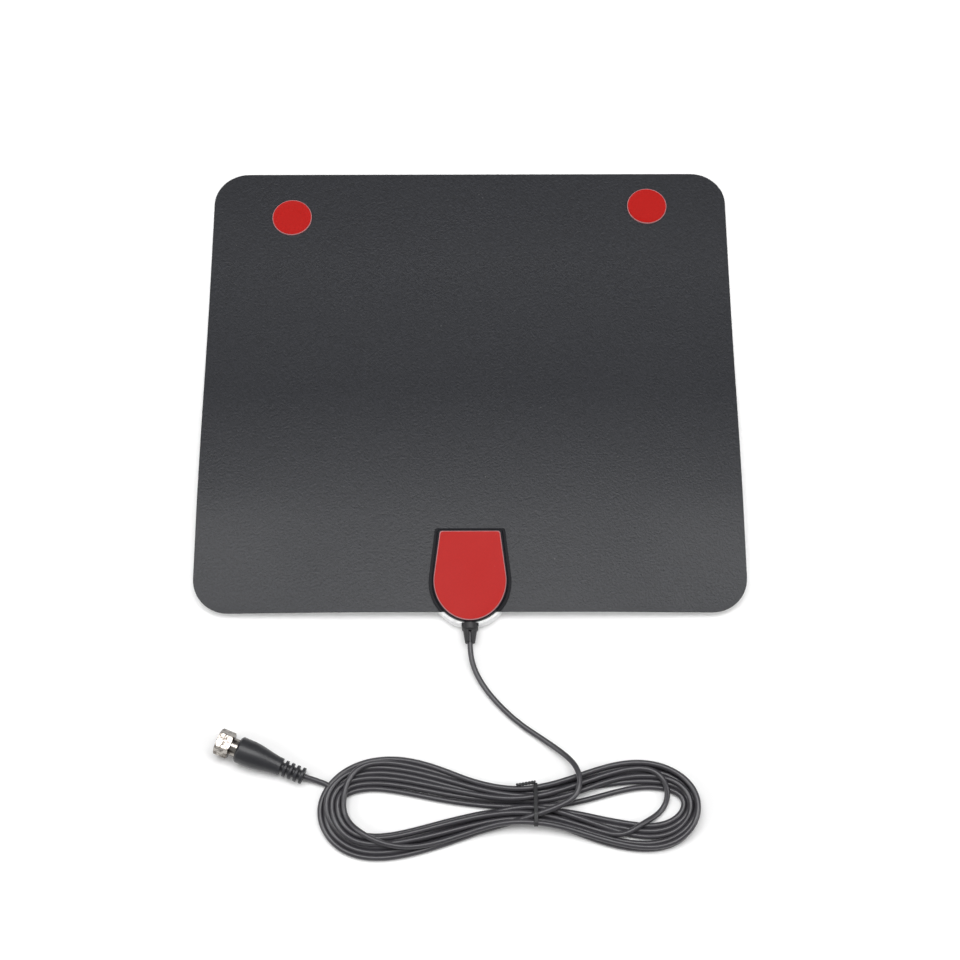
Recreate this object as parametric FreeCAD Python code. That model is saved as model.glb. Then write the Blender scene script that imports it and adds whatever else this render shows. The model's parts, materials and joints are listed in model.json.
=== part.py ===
import FreeCAD, Part
import math
import os

# Flat indoor television antenna, lying with its adhesive side up.
# Millimetres. +X runs across the sheet, +Y away from the cable end, +Z up.
# The origin is the middle of the antenna's footprint (sheet and box), on the table.

V = FreeCAD.Vector
UP = V(0, 0, 1)

# ---- driving dimensions: sheet ----
SHEET_WIDTH = 265.8
SHEET_LENGTH = 242.0
SHEET_CORNER = 17.5
FILM = 0.25                 # each outer film
BOND = 0.15                 # adhesive layer that holds the foil
SHEET_LIFT = 6.0            # underside of the sheet at the box, above the table
LEVEL_END = 46.0            # the sheet is level from its near edge to here
REST_START = 190.0          # and lies on the table from here to its far edge
BOX_OVERHANG = 6.6          # how far the box stands out past the near edge
# right half of the printed foil: a feed tab at the box, then a broad plate with a cut-in side
ELEMENT = [(3, 20), (9, 20), (9, 52), (118, 66), (118, 150), (72, 168), (118, 186), (118, 226),
           (14, 226), (14, 70), (3, 58)]

# ---- driving dimensions: tape pads and liners ----
DISC_DIAMETER = 20.4
DISC_LEFT = (-92.2, 216.2)  # hand-placed pads, from the near edge's middle
DISC_RIGHT = (92.1, 222.5)
TAPE = 0.8
LINER = 0.12
TAPE_LEDGE = 0.35           # the tape shows this far past its liner

# ---- driving dimensions: box ----
# Each outline is a shield: half an ellipse at the near end, whose sides run straight
# and inwards to the far edge. (half width, far width, near end, far edge)
SHIELD_CENTRE = 15.0        # centre of every ellipse, from the sheet's near edge
BOX = (19.8, 33.8, -6.6, 42.2)
RIM = (18.2, 31.4, -5.2, 41.1)
PAD = (17.35, 28.9, -4.85, 39.9)
FLANGE = 0.6                # thin foot of the rear cover on the sheet
REAR_HEIGHT = 2.4           # rear cover above the sheet
WALL = 1.4
PLATE_CORNER = 1.2
EDGE_ROUND = 0.9
RIM_ROUND = 0.5
OVERLAP = 0.2               # how far pieces that are fused run into each other

# ---- driving dimensions: screws, rivets and board ----
SCREW_PLACES = [(-12.0, 5.0), (12.0, 5.0), (-11.0, 33.0), (11.0, 33.0)]
SCREW_SHANK = 1.0
SCREW_HEAD = 1.9
SCREW_HEAD_HEIGHT = 0.9
SCREW_CLEARANCE = 1.2
SCREW_TIP = 2.6             # lowest point of a screw above the table
SLOT_WIDTH = 0.5
SLOT_DEPTH = 0.4
BOSS = 2.6
RIVET_PLACES = [(-6.0, 24.0), (6.0, 24.0)]
RIVET_SHANK = 0.9
RIVET_HEAD = 1.6
RIVET_HEAD_HEIGHT = 0.4
BOARD_WIDTH = 17.0
BOARD_NEAR = 10.0
BOARD_FAR = 30.0
BOARD = 1.0
CORE_HALF = 3.6             # the balun's two-hole core
CORE_NEAR = 16.0
CORE_FAR = 21.5
CORE_BOTTOM = 1.8
CORE_HOLE = (1.7, 0.75)     # place to each side, radius
WINDING = 0.3               # radius of the winding's wire
WINDING_REACH = 0.8         # how far it runs past the core
CHIP = (2.0, 1.25, 0.7)
CHIP_PLACES = [(-7.6, 27.0), (-3.4, 27.0), (1.4, 27.0)]

# ---- driving dimensions: cable ----
CABLE = 2.6                 # outer diameter
EXIT_HEIGHT = 4.2           # cable's centre where it leaves the box
EXIT_SEAT = 5.15            # the relief's collar bears on the box this far ahead of the sheet
SEAT_HALF = 5.5             # half width of the block behind the collar
RELIEF_LENGTH = 9.4         # strain relief's length ahead of its seat
RELIEF_ROOT = 3.9
RELIEF_SHOULDER = 3.3
RELIEF_END = 2.4
RELIEF_NECK = 2.7
COLLAR_END = 3.0            # the collar's straight part
RELIEF_FLAT = 0.9           # the relief is flat below, this far above the table
RELIEF_SLOT = (1.4, 3.9)    # width and start of the slot that shows the cable
NOTCH_GAP = 0.15
ANCHOR = 3.3                # flange that holds the relief behind its seat
ANCHOR_LENGTH = 1.2
JACKET_INSIDE = 10.2        # cable jacket runs this far behind the seat
JACKET_JOINT = 0.15         # the cable starts to bend this far inside the relief's tip
CORE_RADIUS = 0.75
CORE_LENGTH = 4.0
WIRE_RADIUS = 0.25
WIRE_LENGTH = 6.8
BRAID = (1.2, 7.5, 0.6)     # the braid's tail: width, length, thickness
BRAID_X = 0.9
SOLDER_SMALL = (0.5, 0.7, 0.4)   # height, foot radius, top radius
SOLDER_TALL = (1.1, 0.8, 0.4)
WIRE_JOINT = 0.6            # the tall joint's centre, from the conductor's end

# ---- driving dimensions: plug, along its own axis, from the boot's front face ----
NUT_ACROSS_FLATS = 11.0
NUT_TURN = 20.0             # degrees the nut happens to be turned
NUT_BACK = 3.1
NUT_FRONT = 10.0
NUT_FLANGE = 1.7            # the nut's inner flange
THREAD_RADIUS = 4.35
COLLAR_RADIUS = 4.2
COLLAR_LENGTH = 3.0
NECK_RADIUS = 3.6
RUNNING_GAP = 0.06
KEEPER_RADIUS = 4.1
KEEPER_LENGTH = 1.3
SHANK_RADIUS = 3.3
SHANK_LENGTH = 12.0
BOOT_RADIUS = 6.2
BOOT_TAPER = 22.0           # smooth part of the boot
BOOT_WAIST = 4.1
RIB_RADIUS = 3.9
RIB_CORE = 2.4
RIB_COUNT = 4
RIB_PITCH = 2.8
RIB_THICK = 1.4
PIN_RADIUS = 0.5
PIN_PROUD = 0.6             # the pin's tip stands this far past the nut
INSULATOR = 2.2
NUT_CHAMFER = 0.5
BARREL = 6.0                # the boot's straight front part
BOOT_CHAMFER = 0.9
PLUG_FACE = (-107.7, -66.0)   # boot's front face, from the near edge's middle
PLUG_TAIL = (-77.1, -78.4)   # where the boot's ribs end

# ---- driving dimensions: free cord ----
LEAD_ROUTE = [(0.0, -19.9, 3.8), (2.6, -29.0, 1.8), (9.6, -40.0, 1.35), (22.0, -52.6, 1.35),
              (36.0, -62.0, 1.5), (46.0, -70.5, 4.2), (49.4, -77.2, 4.7)]
TAIL_START = 4.0            # the tail's straight run out of the plug
TAIL_END = (-65.4, -81.6, 3.1)

# ---- driving dimensions: hank ----
LOOP_HEIGHT = 6.2
WAIST_HEIGHT = 8.4
WAIST_SPAN = (13.0, 45.0)   # along X, where the turns are drawn together
TIE_X = 29.2
TIE_Y = -92.0
TIE_WIDTH = 2.0
TIE_THICK = 0.7
TIE_TAIL = 10.5             # twisted ends, laid along the hank
TIE_TWIST = 1.4             # their width and height
WAIST_HALF = 9.8
HANK_OUTLINE = [
    (-70.6, -93.5), (-66.0, -80.5), (-54.0, -71.5), (-39.0, -68.3), (-20.0, -71.4), (0.0, -79.6),
    (18.0, -82.6), (34.0, -82.0), (50.0, -77.4), (62.0, -72.9), (76.0, -70.6), (92.0, -73.2),
    (103.0, -81.8), (106.2, -93.0), (102.0, -104.5), (91.0, -112.2), (78.0, -113.2), (62.0, -109.8),
    (46.0, -104.6), (30.0, -101.7), (14.0, -102.4), (-4.0, -107.8), (-22.0, -113.6), (-42.0, -117.7),
    (-58.0, -113.5), (-67.5, -104.5),
]
LEFT_HOLE = [
    (-59.3, -91.5), (-55.5, -86.0), (-47.0, -84.8), (-35.0, -86.6), (-20.0, -89.8), (-4.0, -92.4),
    (7.0, -94.0), (-4.0, -96.6), (-20.0, -100.5), (-34.0, -104.2), (-46.0, -105.4), (-55.5, -99.8),
]
RIGHT_HOLE = [
    (45.0, -93.3), (60.0, -88.6), (74.0, -85.4), (84.0, -86.0), (87.5, -91.0), (83.0, -97.2),
    (72.0, -99.2), (58.0, -96.6),
]

near_edge = -(SHEET_LENGTH - BOX_OVERHANG) / 2
thickness = 2 * FILM + BOND
sheet_top = SHEET_LIFT + thickness
rear_top = sheet_top + REAR_HEIGHT
cable_r = CABLE / 2
solids = {}


def place(x, y, z=0.0):
    """A point given from the middle of the sheet's near edge."""
    return V(x, y + near_edge, z)


def cylinder(radius, base, axis, length):
    return Part.makeCylinder(radius, length, base, axis)


def prism(wire, low, high):
    """A flat outline at z = 0 raised between two heights."""
    face = Part.Face(wire)
    face.translate(V(0, 0, low))
    return face.extrude(V(0, 0, high - low))


def revolve(points, base, axis):
    """A solid turned about axis; points are (distance along the axis, radius)."""
    side = Part.Wire(Part.makePolygon([V(s, r, 0) for s, r in points + points[:1]]))
    turned = Part.Face(side).revolve(V(0, 0, 0), V(1, 0, 0), 360)
    turned.Placement = FreeCAD.Placement(base, FreeCAD.Rotation(V(1, 0, 0), axis))
    return turned


def shield(outline, inset=0.0):
    """Half an ellipse at the near end, and sides that touch it and run straight to the far edge."""
    half, far_width, near, far = outline
    half, near, far = half - inset, near + inset, far - inset
    depth = SHIELD_CENTRE - near
    squeeze = half / depth
    # where a line from the far corner touches: found on a circle, with Y squeezed
    corner_x, corner_y = far_width / 2 - inset, (far - SHIELD_CENTRE) * squeeze
    turn = math.atan2(corner_y, corner_x) - math.acos(half / math.hypot(corner_x, corner_y))
    touch_x, touch_y = half * math.cos(turn), SHIELD_CENTRE + depth * math.sin(turn)
    ellipse = Part.Ellipse(place(0, near), place(half, SHIELD_CENTRE), place(0, SHIELD_CENTRE))
    left, right = place(-corner_x, far), place(corner_x, far)
    touch, mirror = place(touch_x, touch_y), place(-touch_x, touch_y)
    ends = sorted([ellipse.parameter(touch), ellipse.parameter(mirror)])
    low = ellipse.parameter(place(0, near))
    if not ends[0] < low < ends[1]:
        ends = [ends[1], ends[0] + 2 * math.pi]
    round_end = ellipse.toShape(*ends)
    sides = [Part.makeLine(left, right), Part.makeLine(right, touch), Part.makeLine(mirror, left)]
    return Part.Wire(Part.__sortEdges__(sides + [round_end]))


def round_uprights(solid, radius, far):
    """Round the two upright corners at a shield's far edge."""
    y_far = place(0, far).y
    corners = []
    for edge in solid.Edges:
        a, b = edge.Vertexes[0].Point, edge.Vertexes[-1].Point
        upright = abs(a.x - b.x) < 1e-6 and abs(a.y - b.y) < 1e-6 and abs(a.z - b.z) > 1e-3
        if upright and abs(a.y - y_far) < 1e-4:
            corners.append(edge)
    return solid.makeFillet(radius, corners)


def edges_at(solid, height):
    return [e for e in solid.Edges if abs(e.BoundBox.ZMin - height) + abs(e.BoundBox.ZMax - height) < 1e-5]


def fuse(first, *others):
    joined = first
    for other in others:
        joined = joined.fuse(other)
    return joined.removeSplitter()


def cut(body, *tools):
    for tool in tools:
        body = body.cut(tool)
    return body


# ---- sheet: three layers of one gentle S-shaped band ----

def side_curve(height):
    """The sheet's side view as edges in the YZ plane: level, two equal arcs, level."""
    near, level = near_edge, place(0, LEVEL_END).y
    rest, far = place(0, REST_START).y, near_edge + SHEET_LENGTH
    half = (rest - level) / 2
    radius = (half ** 2 + (SHEET_LIFT / 2) ** 2) / SHEET_LIFT
    quarter = math.asin(half / radius) / 2
    sag = radius * (1 - math.cos(quarter))
    run = radius * math.sin(quarter)
    high, low = SHEET_LIFT + height, height
    middle = V(0, level + half, (high + low) / 2)
    return [
        Part.makeLine(V(0, near, high), V(0, level, high)),
        Part.Arc(V(0, level, high), V(0, level + run, high - sag), middle).toShape(),
        Part.Arc(middle, V(0, rest - run, low + sag), V(0, rest, low)).toShape(),
        Part.makeLine(V(0, rest, low), V(0, far, low)),
    ]


def band(low, high, half_width):
    """The layer between two copies of the side curve, extruded across the sheet."""
    under, over = side_curve(low), side_curve(high)
    start = Part.makeLine(over[0].Vertexes[0].Point, under[0].Vertexes[0].Point)
    end = Part.makeLine(under[-1].Vertexes[-1].Point, over[-1].Vertexes[-1].Point)
    face = Part.Face(Part.Wire(Part.__sortEdges__(under + over + [start, end])))
    face.translate(V(-half_width, 0, 0))
    return face.extrude(V(2 * half_width, 0, 0))


def sheet_outline():
    blank = Part.makeBox(SHEET_WIDTH, SHEET_LENGTH, 20, V(-SHEET_WIDTH / 2, near_edge, -5))
    uprights = [e for e in blank.Edges if e.BoundBox.ZLength > 19]
    return blank.makeFillet(SHEET_CORNER, uprights)


def element_outline(side):
    points = [place(side * x, y) for x, y in ELEMENT]
    return Part.Wire(Part.makePolygon(points + points[:1]))


def sheet_holes(low, high):
    """Holes through the sheet for the box's screws and the contact rivets."""
    tall = high - low
    screws = [cylinder(SCREW_CLEARANCE, place(x, y, low), UP, tall) for x, y in SCREW_PLACES]
    rivets = [cylinder(RIVET_SHANK, place(x, y, low), UP, tall) for x, y in RIVET_PLACES]
    return screws + rivets


def make_sheet():
    outline = sheet_outline()
    holes = sheet_holes(SHEET_LIFT - 1, sheet_top + 1)
    layers = {
        "front_film": (0.0, FILM),
        "bond_layer": (FILM, FILM + BOND),
        "back_film": (FILM + BOND, thickness),
    }
    for name, (low, high) in layers.items():
        solids[name] = cut(band(low, high, SHEET_WIDTH / 2 + 1).common(outline), *holes)
    whole_bond = solids["bond_layer"]
    for name, side in (("foil_left", -1), ("foil_right", 1)):
        plate = prism(element_outline(side), -5, 15)
        solids[name] = whole_bond.common(plate)
        solids["bond_layer"] = solids["bond_layer"].cut(plate)


# ---- tape pads and their peel-off liners ----

def make_pads():
    for side, (x, y) in (("left", DISC_LEFT), ("right", DISC_RIGHT)):
        pad_r = DISC_DIAMETER / 2
        solids["tape_disc_" + side] = cylinder(pad_r, place(x, y, thickness), UP, TAPE)
        solids["liner_disc_" + side] = cylinder(pad_r - TAPE_LEDGE, place(x, y, thickness + TAPE), UP, LINER)
    far = PAD[3]
    tape = prism(shield(PAD), rear_top, rear_top + TAPE)
    liner = prism(shield(PAD, TAPE_LEDGE), rear_top + TAPE, rear_top + TAPE + LINER)
    solids["box_tape"] = round_uprights(tape, PLATE_CORNER, far)
    solids["box_liner"] = round_uprights(liner, PLATE_CORNER, far - TAPE_LEDGE)


# ---- box ----

def ahead_of_sheet(low, high):
    """The room in front of the sheet's near edge, between two heights."""
    reach = 2 * BOX[0]
    return Part.makeBox(2 * reach, reach, high - low, V(-reach, near_edge - reach, low))


def over_sheet(low, high):
    reach = 2 * BOX[0]
    return Part.makeBox(2 * reach, 2 * reach, high - low, V(-reach, near_edge, low))


def exit_hollows():
    """What the strain relief takes from the covers: its neck, its anchor, and a notch for its collar."""
    seat = place(0, -EXIT_SEAT, EXIT_HEIGHT)
    behind = seat.add(V(0, WALL, 0))
    neck = cylinder(RELIEF_NECK, seat.add(V(0, -1, 0)), V(0, 1, 0), WALL + 1)
    anchor = cylinder(ANCHOR, behind, V(0, 1, 0), ANCHOR_LENGTH)
    notch_r = RELIEF_ROOT + NOTCH_GAP
    collar = cylinder(notch_r, seat, V(0, -1, 0), RELIEF_LENGTH)
    above = Part.makeBox(2 * notch_r, RELIEF_LENGTH, sheet_top,
                         seat.add(V(-notch_r, -RELIEF_LENGTH, 0)))
    return neck, anchor, collar, above


def make_front_cover():
    """An open tray below the sheet, whose wall stands up past the sheet's near edge."""
    far = BOX[3]
    tray = round_uprights(prism(shield(BOX), 0, sheet_top), PLATE_CORNER, far)
    tray = tray.makeFillet(EDGE_ROUND, edges_at(tray, 0))
    near_rim = [e for e in edges_at(tray, sheet_top) if e.BoundBox.YMin < near_edge - 1]
    tray = tray.makeFillet(EDGE_ROUND, near_rim)
    tray = tray.cut(prism(shield(BOX, WALL), WALL, sheet_top + 1))
    seat = Part.makeBox(2 * SEAT_HALF, WALL, SHEET_LIFT - WALL + OVERLAP,
                        place(-SEAT_HALF, -EXIT_SEAT, WALL - OVERLAP))
    tray = tray.fuse(seat)
    for x, y in SCREW_PLACES:
        tray = tray.fuse(cylinder(BOSS, place(x, y, WALL - OVERLAP), UP, SHEET_LIFT - WALL + OVERLAP))
        tray = tray.cut(cylinder(SCREW_SHANK, place(x, y, SCREW_TIP - 2 * OVERLAP), UP, SHEET_LIFT))
    return cut(tray, over_sheet(SHEET_LIFT, sheet_top + 1), *exit_hollows()).removeSplitter()


def make_rear_cover():
    """A raised plate on a thin foot, hollow below, with a skirt that closes the box ahead of the sheet."""
    plate = round_uprights(prism(shield(RIM), sheet_top, rear_top), PLATE_CORNER, RIM[3])
    plate = plate.makeFillet(RIM_ROUND, edges_at(plate, rear_top))
    foot = round_uprights(prism(shield(BOX), sheet_top, sheet_top + FLANGE), PLATE_CORNER, BOX[3])
    cover = plate.fuse(foot.common(over_sheet(sheet_top, rear_top)))
    cover = cover.cut(prism(shield(RIM, WALL), sheet_top, rear_top - WALL))
    skirt = prism(shield(BOX, WALL + NOTCH_GAP), SHEET_LIFT, sheet_top + OVERLAP)
    skirt = skirt.cut(prism(shield(BOX, 2 * WALL), SHEET_LIFT - 1, sheet_top + 1))
    skirt = skirt.common(ahead_of_sheet(SHEET_LIFT, rear_top)).common(prism(shield(RIM), 0, rear_top))
    cover = cover.fuse(skirt)
    head_floor = rear_top - SCREW_HEAD_HEIGHT
    for x, y in SCREW_PLACES:
        cover = cover.fuse(cylinder(BOSS, place(x, y, sheet_top), UP, REAR_HEIGHT - WALL + OVERLAP))
        cover = cover.cut(cylinder(SCREW_CLEARANCE, place(x, y, sheet_top - 1), UP, REAR_HEIGHT + 2))
        cover = cover.cut(cylinder(SCREW_HEAD + NOTCH_GAP, place(x, y, head_floor), UP, REAR_HEIGHT))
    neck, anchor, _, _ = exit_hollows()
    return cut(cover, neck, anchor).removeSplitter()


def make_screws():
    head_floor = rear_top - SCREW_HEAD_HEIGHT
    screws = []
    for x, y in SCREW_PLACES:
        head = cylinder(SCREW_HEAD, place(x, y, head_floor), UP, SCREW_HEAD_HEIGHT - NOTCH_GAP)
        slot = Part.makeBox(2 * SCREW_HEAD, SLOT_WIDTH, SLOT_DEPTH,
                            place(x - SCREW_HEAD, y - SLOT_WIDTH / 2, rear_top - NOTCH_GAP - SLOT_DEPTH))
        shank = cylinder(SCREW_SHANK, place(x, y, SCREW_TIP), UP, head_floor - SCREW_TIP + OVERLAP)
        screws.append(fuse(head, shank).cut(slot))
    return Part.makeCompound(screws)


def make_covers():
    solids["front_cover"] = make_front_cover()
    solids["rear_cover"] = make_rear_cover()
    solids["cover_screws"] = make_screws()


# ---- matching board and what is on it ----

def make_board():
    board_low = SHEET_LIFT - BOARD
    board = Part.makeBox(BOARD_WIDTH, BOARD_FAR - BOARD_NEAR, BOARD,
                         place(-BOARD_WIDTH / 2, BOARD_NEAR, board_low))
    for x, y in RIVET_PLACES:
        board = board.cut(cylinder(RIVET_SHANK, place(x, y, board_low - 1), UP, 3))
    solids["matching_board"] = board

    rivets = []
    for x, y in RIVET_PLACES:
        low = board_low - RIVET_HEAD_HEIGHT
        stem = cylinder(RIVET_SHANK, place(x, y, low), UP, sheet_top - low + RIVET_HEAD_HEIGHT)
        top = cylinder(RIVET_HEAD, place(x, y, sheet_top), UP, RIVET_HEAD_HEIGHT)
        tail = cylinder(RIVET_HEAD, place(x, y, low), UP, RIVET_HEAD_HEIGHT)
        rivets.append(fuse(stem, top, tail))
    solids["contact_rivets"] = Part.makeCompound(rivets)

    # two-hole ferrite core of the balun, with a wire loop through each hole
    hole_x, hole_r = CORE_HOLE
    hole_z = (CORE_BOTTOM + board_low) / 2
    core = Part.makeBox(2 * CORE_HALF, CORE_FAR - CORE_NEAR, board_low - CORE_BOTTOM,
                        place(-CORE_HALF, CORE_NEAR, CORE_BOTTOM))
    wire_near, wire_far = CORE_NEAR - WINDING_REACH, CORE_FAR + WINDING_REACH
    wires = []
    for side in (-1, 1):
        x = side * hole_x
        core = core.cut(cylinder(hole_r, place(x, wire_near, hole_z), V(0, 1, 0), wire_far - wire_near))
        run = cylinder(WINDING, place(x, wire_near, hole_z), V(0, 1, 0), wire_far - wire_near)
        risers = [cylinder(WINDING, place(x, y, hole_z), UP, board_low - hole_z)
                  for y in (wire_near, wire_far)]
        wires.append(fuse(run, *risers))
    solids["balun_core"] = core
    solids["balun_winding"] = Part.makeCompound(wires)
    chips = [Part.makeBox(*CHIP, place(x, y, board_low - CHIP[2])) for x, y in CHIP_PLACES]
    solids["chip_capacitors"] = Part.makeCompound(chips)


# ---- cable's inner end, strain relief and the ends on the board ----

def make_cable_entry():
    seat = place(0, -EXIT_SEAT, EXIT_HEIGHT)
    inwards = V(0, 1, 0)
    # the relief tapers ahead of its seat, fills the seat's notch and is anchored behind it
    profile = [
        (-WALL - ANCHOR_LENGTH, cable_r), (-WALL - ANCHOR_LENGTH, ANCHOR), (-WALL, ANCHOR),
        (-WALL, RELIEF_NECK), (0, RELIEF_NECK), (0, RELIEF_ROOT), (COLLAR_END, RELIEF_ROOT),
        (COLLAR_END + 0.7, RELIEF_SHOULDER), (RELIEF_LENGTH, RELIEF_END), (RELIEF_LENGTH, cable_r),
    ]
    relief = revolve(profile, seat, V(0, -1, 0))
    slot_width, slot_start = RELIEF_SLOT
    slot = Part.makeBox(slot_width, RELIEF_LENGTH, RELIEF_ROOT + 1,
                        seat.add(V(-slot_width / 2, -RELIEF_LENGTH - slot_start, 0)))
    below = Part.makeBox(20, 40, RELIEF_FLAT + 10, place(-10, -30, -10))
    solids["box_strain_relief"] = cut(relief, slot, below)

    entry_length = RELIEF_LENGTH - JACKET_JOINT + JACKET_INSIDE
    strip = seat.add(V(0, JACKET_INSIDE, 0))
    wire = cylinder(WIRE_RADIUS, strip, inwards, WIRE_LENGTH)
    solids["cable_entry"] = cylinder(cable_r, strip, inwards.negative(), entry_length)
    solids["cable_core"] = cylinder(CORE_RADIUS, strip, inwards, CORE_LENGTH).cut(wire)
    solids["cable_conductor"] = wire
    width, length, thick = BRAID
    solids["cable_braid"] = Part.makeBox(width, length, thick,
                                         V(BRAID_X, strip.y, SHEET_LIFT - BOARD - thick))


def make_solder():
    """Cone-shaped joints under the board, at the winding's ends and the cable's conductor."""
    board_low = SHEET_LIFT - BOARD
    x = CORE_HOLE[0]
    near, far = CORE_NEAR - WINDING_REACH, CORE_FAR + WINDING_REACH
    conductor_y = JACKET_INSIDE - EXIT_SEAT + WIRE_LENGTH - WIRE_JOINT
    joints = []
    for x, y, (height, base, tip) in [
        (-x, near, SOLDER_SMALL), (x, near, SOLDER_SMALL), (-x, far, SOLDER_SMALL), (x, far, SOLDER_SMALL),
        (0, conductor_y, SOLDER_TALL),
    ]:
        joint = Part.makeCone(tip, base, height, place(x, y, board_low - height), UP)
        joints.append(cut(joint, solids["balun_winding"], solids["cable_conductor"]))
    solids["solder_joints"] = Part.makeCompound(joints)


# ---- free cord ----

def smooth_route(points):
    """Straight runs joined by tangent arcs, each as large as its two runs allow."""
    edges, radii = [], []
    start = points[0]
    for before, here, after in zip(points, points[1:], points[2:]):
        into, out = here.sub(before), after.sub(here)
        turn = into.getAngle(out)
        cutback = 0.45 * min(into.Length, out.Length)
        radius = cutback / math.tan(turn / 2)
        first = here.sub(V(into).normalize().multiply(cutback))
        last = here.add(V(out).normalize().multiply(cutback))
        middle_dir = V(out).normalize().sub(V(into).normalize()).normalize()
        to_middle = radius / math.cos(turn / 2) - radius
        edges.append(Part.makeLine(start, first))
        edges.append(Part.Arc(first, here.add(middle_dir.multiply(to_middle)), last).toShape())
        start = last
        radii.append(radius)
    edges.append(Part.makeLine(start, points[-1]))
    return Part.Wire(edges), radii


def cord_tube(name, points):
    route, radii = smooth_route(points)
    start, heading = points[0], points[1].sub(points[0])
    section = Part.Wire(Part.makeCircle(cable_r, start, heading))
    tube = route.makePipeShell([section], True, True)
    expected = math.pi * cable_r ** 2 * route.Length
    print(name, "length %.1f" % route.Length, "volume ratio %.4f" % (tube.Volume / expected),
          "radii", [round(r, 1) for r in radii])
    solids[name] = tube
    return route.Length


def lead_points():
    """From the strain relief down to the table, then up against the hank's far side."""
    relief_tip = (0.0, -EXIT_SEAT - RELIEF_LENGTH, EXIT_HEIGHT)
    return [place(*p) for p in [relief_tip] + LEAD_ROUTE]


def smooth_loop(points):
    """A closed smooth outline through hand-set points."""
    curve = Part.BSplineCurve()
    curve.interpolate(Points=[place(x, y) for x, y in points], PeriodicFlag=True)
    return Part.Wire(curve.toShape())


def make_hank():
    outline = smooth_loop(HANK_OUTLINE)
    loops = prism(outline, 0, LOOP_HEIGHT)
    gathered = prism(outline, LOOP_HEIGHT, WAIST_HEIGHT).common(
        Part.makeBox(WAIST_SPAN[1] - WAIST_SPAN[0], 60, 20, place(WAIST_SPAN[0], TIE_Y - 30, 0)))
    holes = [prism(smooth_loop(hole), -1, 12) for hole in (LEFT_HOLE, RIGHT_HOLE)]
    hank = cut(loops.fuse(gathered).removeSplitter(), *holes)

    # the tie is a band round the waist, and the hank is drawn in under it
    half = WAIST_HALF + TIE_THICK
    height = WAIST_HEIGHT + TIE_THICK
    low_x = TIE_X - TIE_WIDTH / 2
    outer = Part.makeBox(TIE_WIDTH, 2 * half, height, place(low_x, TIE_Y - half))
    inner = Part.makeBox(TIE_WIDTH, 2 * half - 2 * TIE_THICK, height - 2 * TIE_THICK,
                         place(low_x, TIE_Y - half + TIE_THICK, TIE_THICK))
    groove = Part.makeBox(TIE_WIDTH, 60, 30, place(low_x, TIE_Y - 30, -1)).cut(inner)
    twist = Part.makeBox(TIE_TAIL, TIE_TWIST, TIE_TWIST,
                         place(TIE_X - TIE_TAIL, TIE_Y + half - TIE_TWIST, height - TIE_TWIST))
    twist = twist.cut(inner)
    solids["twist_tie"] = fuse(outer.cut(inner), twist)
    solids["cord_hank"] = cut(hank, groove, twist)


def plug_frame():
    """The boot's front face and the direction its nose points: it lies on its boot and ribs."""
    flat = place(*PLUG_FACE).sub(place(*PLUG_TAIL))
    boot_length = BOOT_TAPER + RIB_COUNT * RIB_PITCH
    rise = math.asin((BOOT_RADIUS - RIB_RADIUS) / (boot_length - 2.0))
    heading = V(flat.x, flat.y, 0).normalize()
    nose = V(heading.x * math.cos(rise), heading.y * math.cos(rise), math.sin(rise))
    face = place(PLUG_FACE[0], PLUG_FACE[1], BOOT_RADIUS + 0.15)
    return face, nose, boot_length


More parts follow.
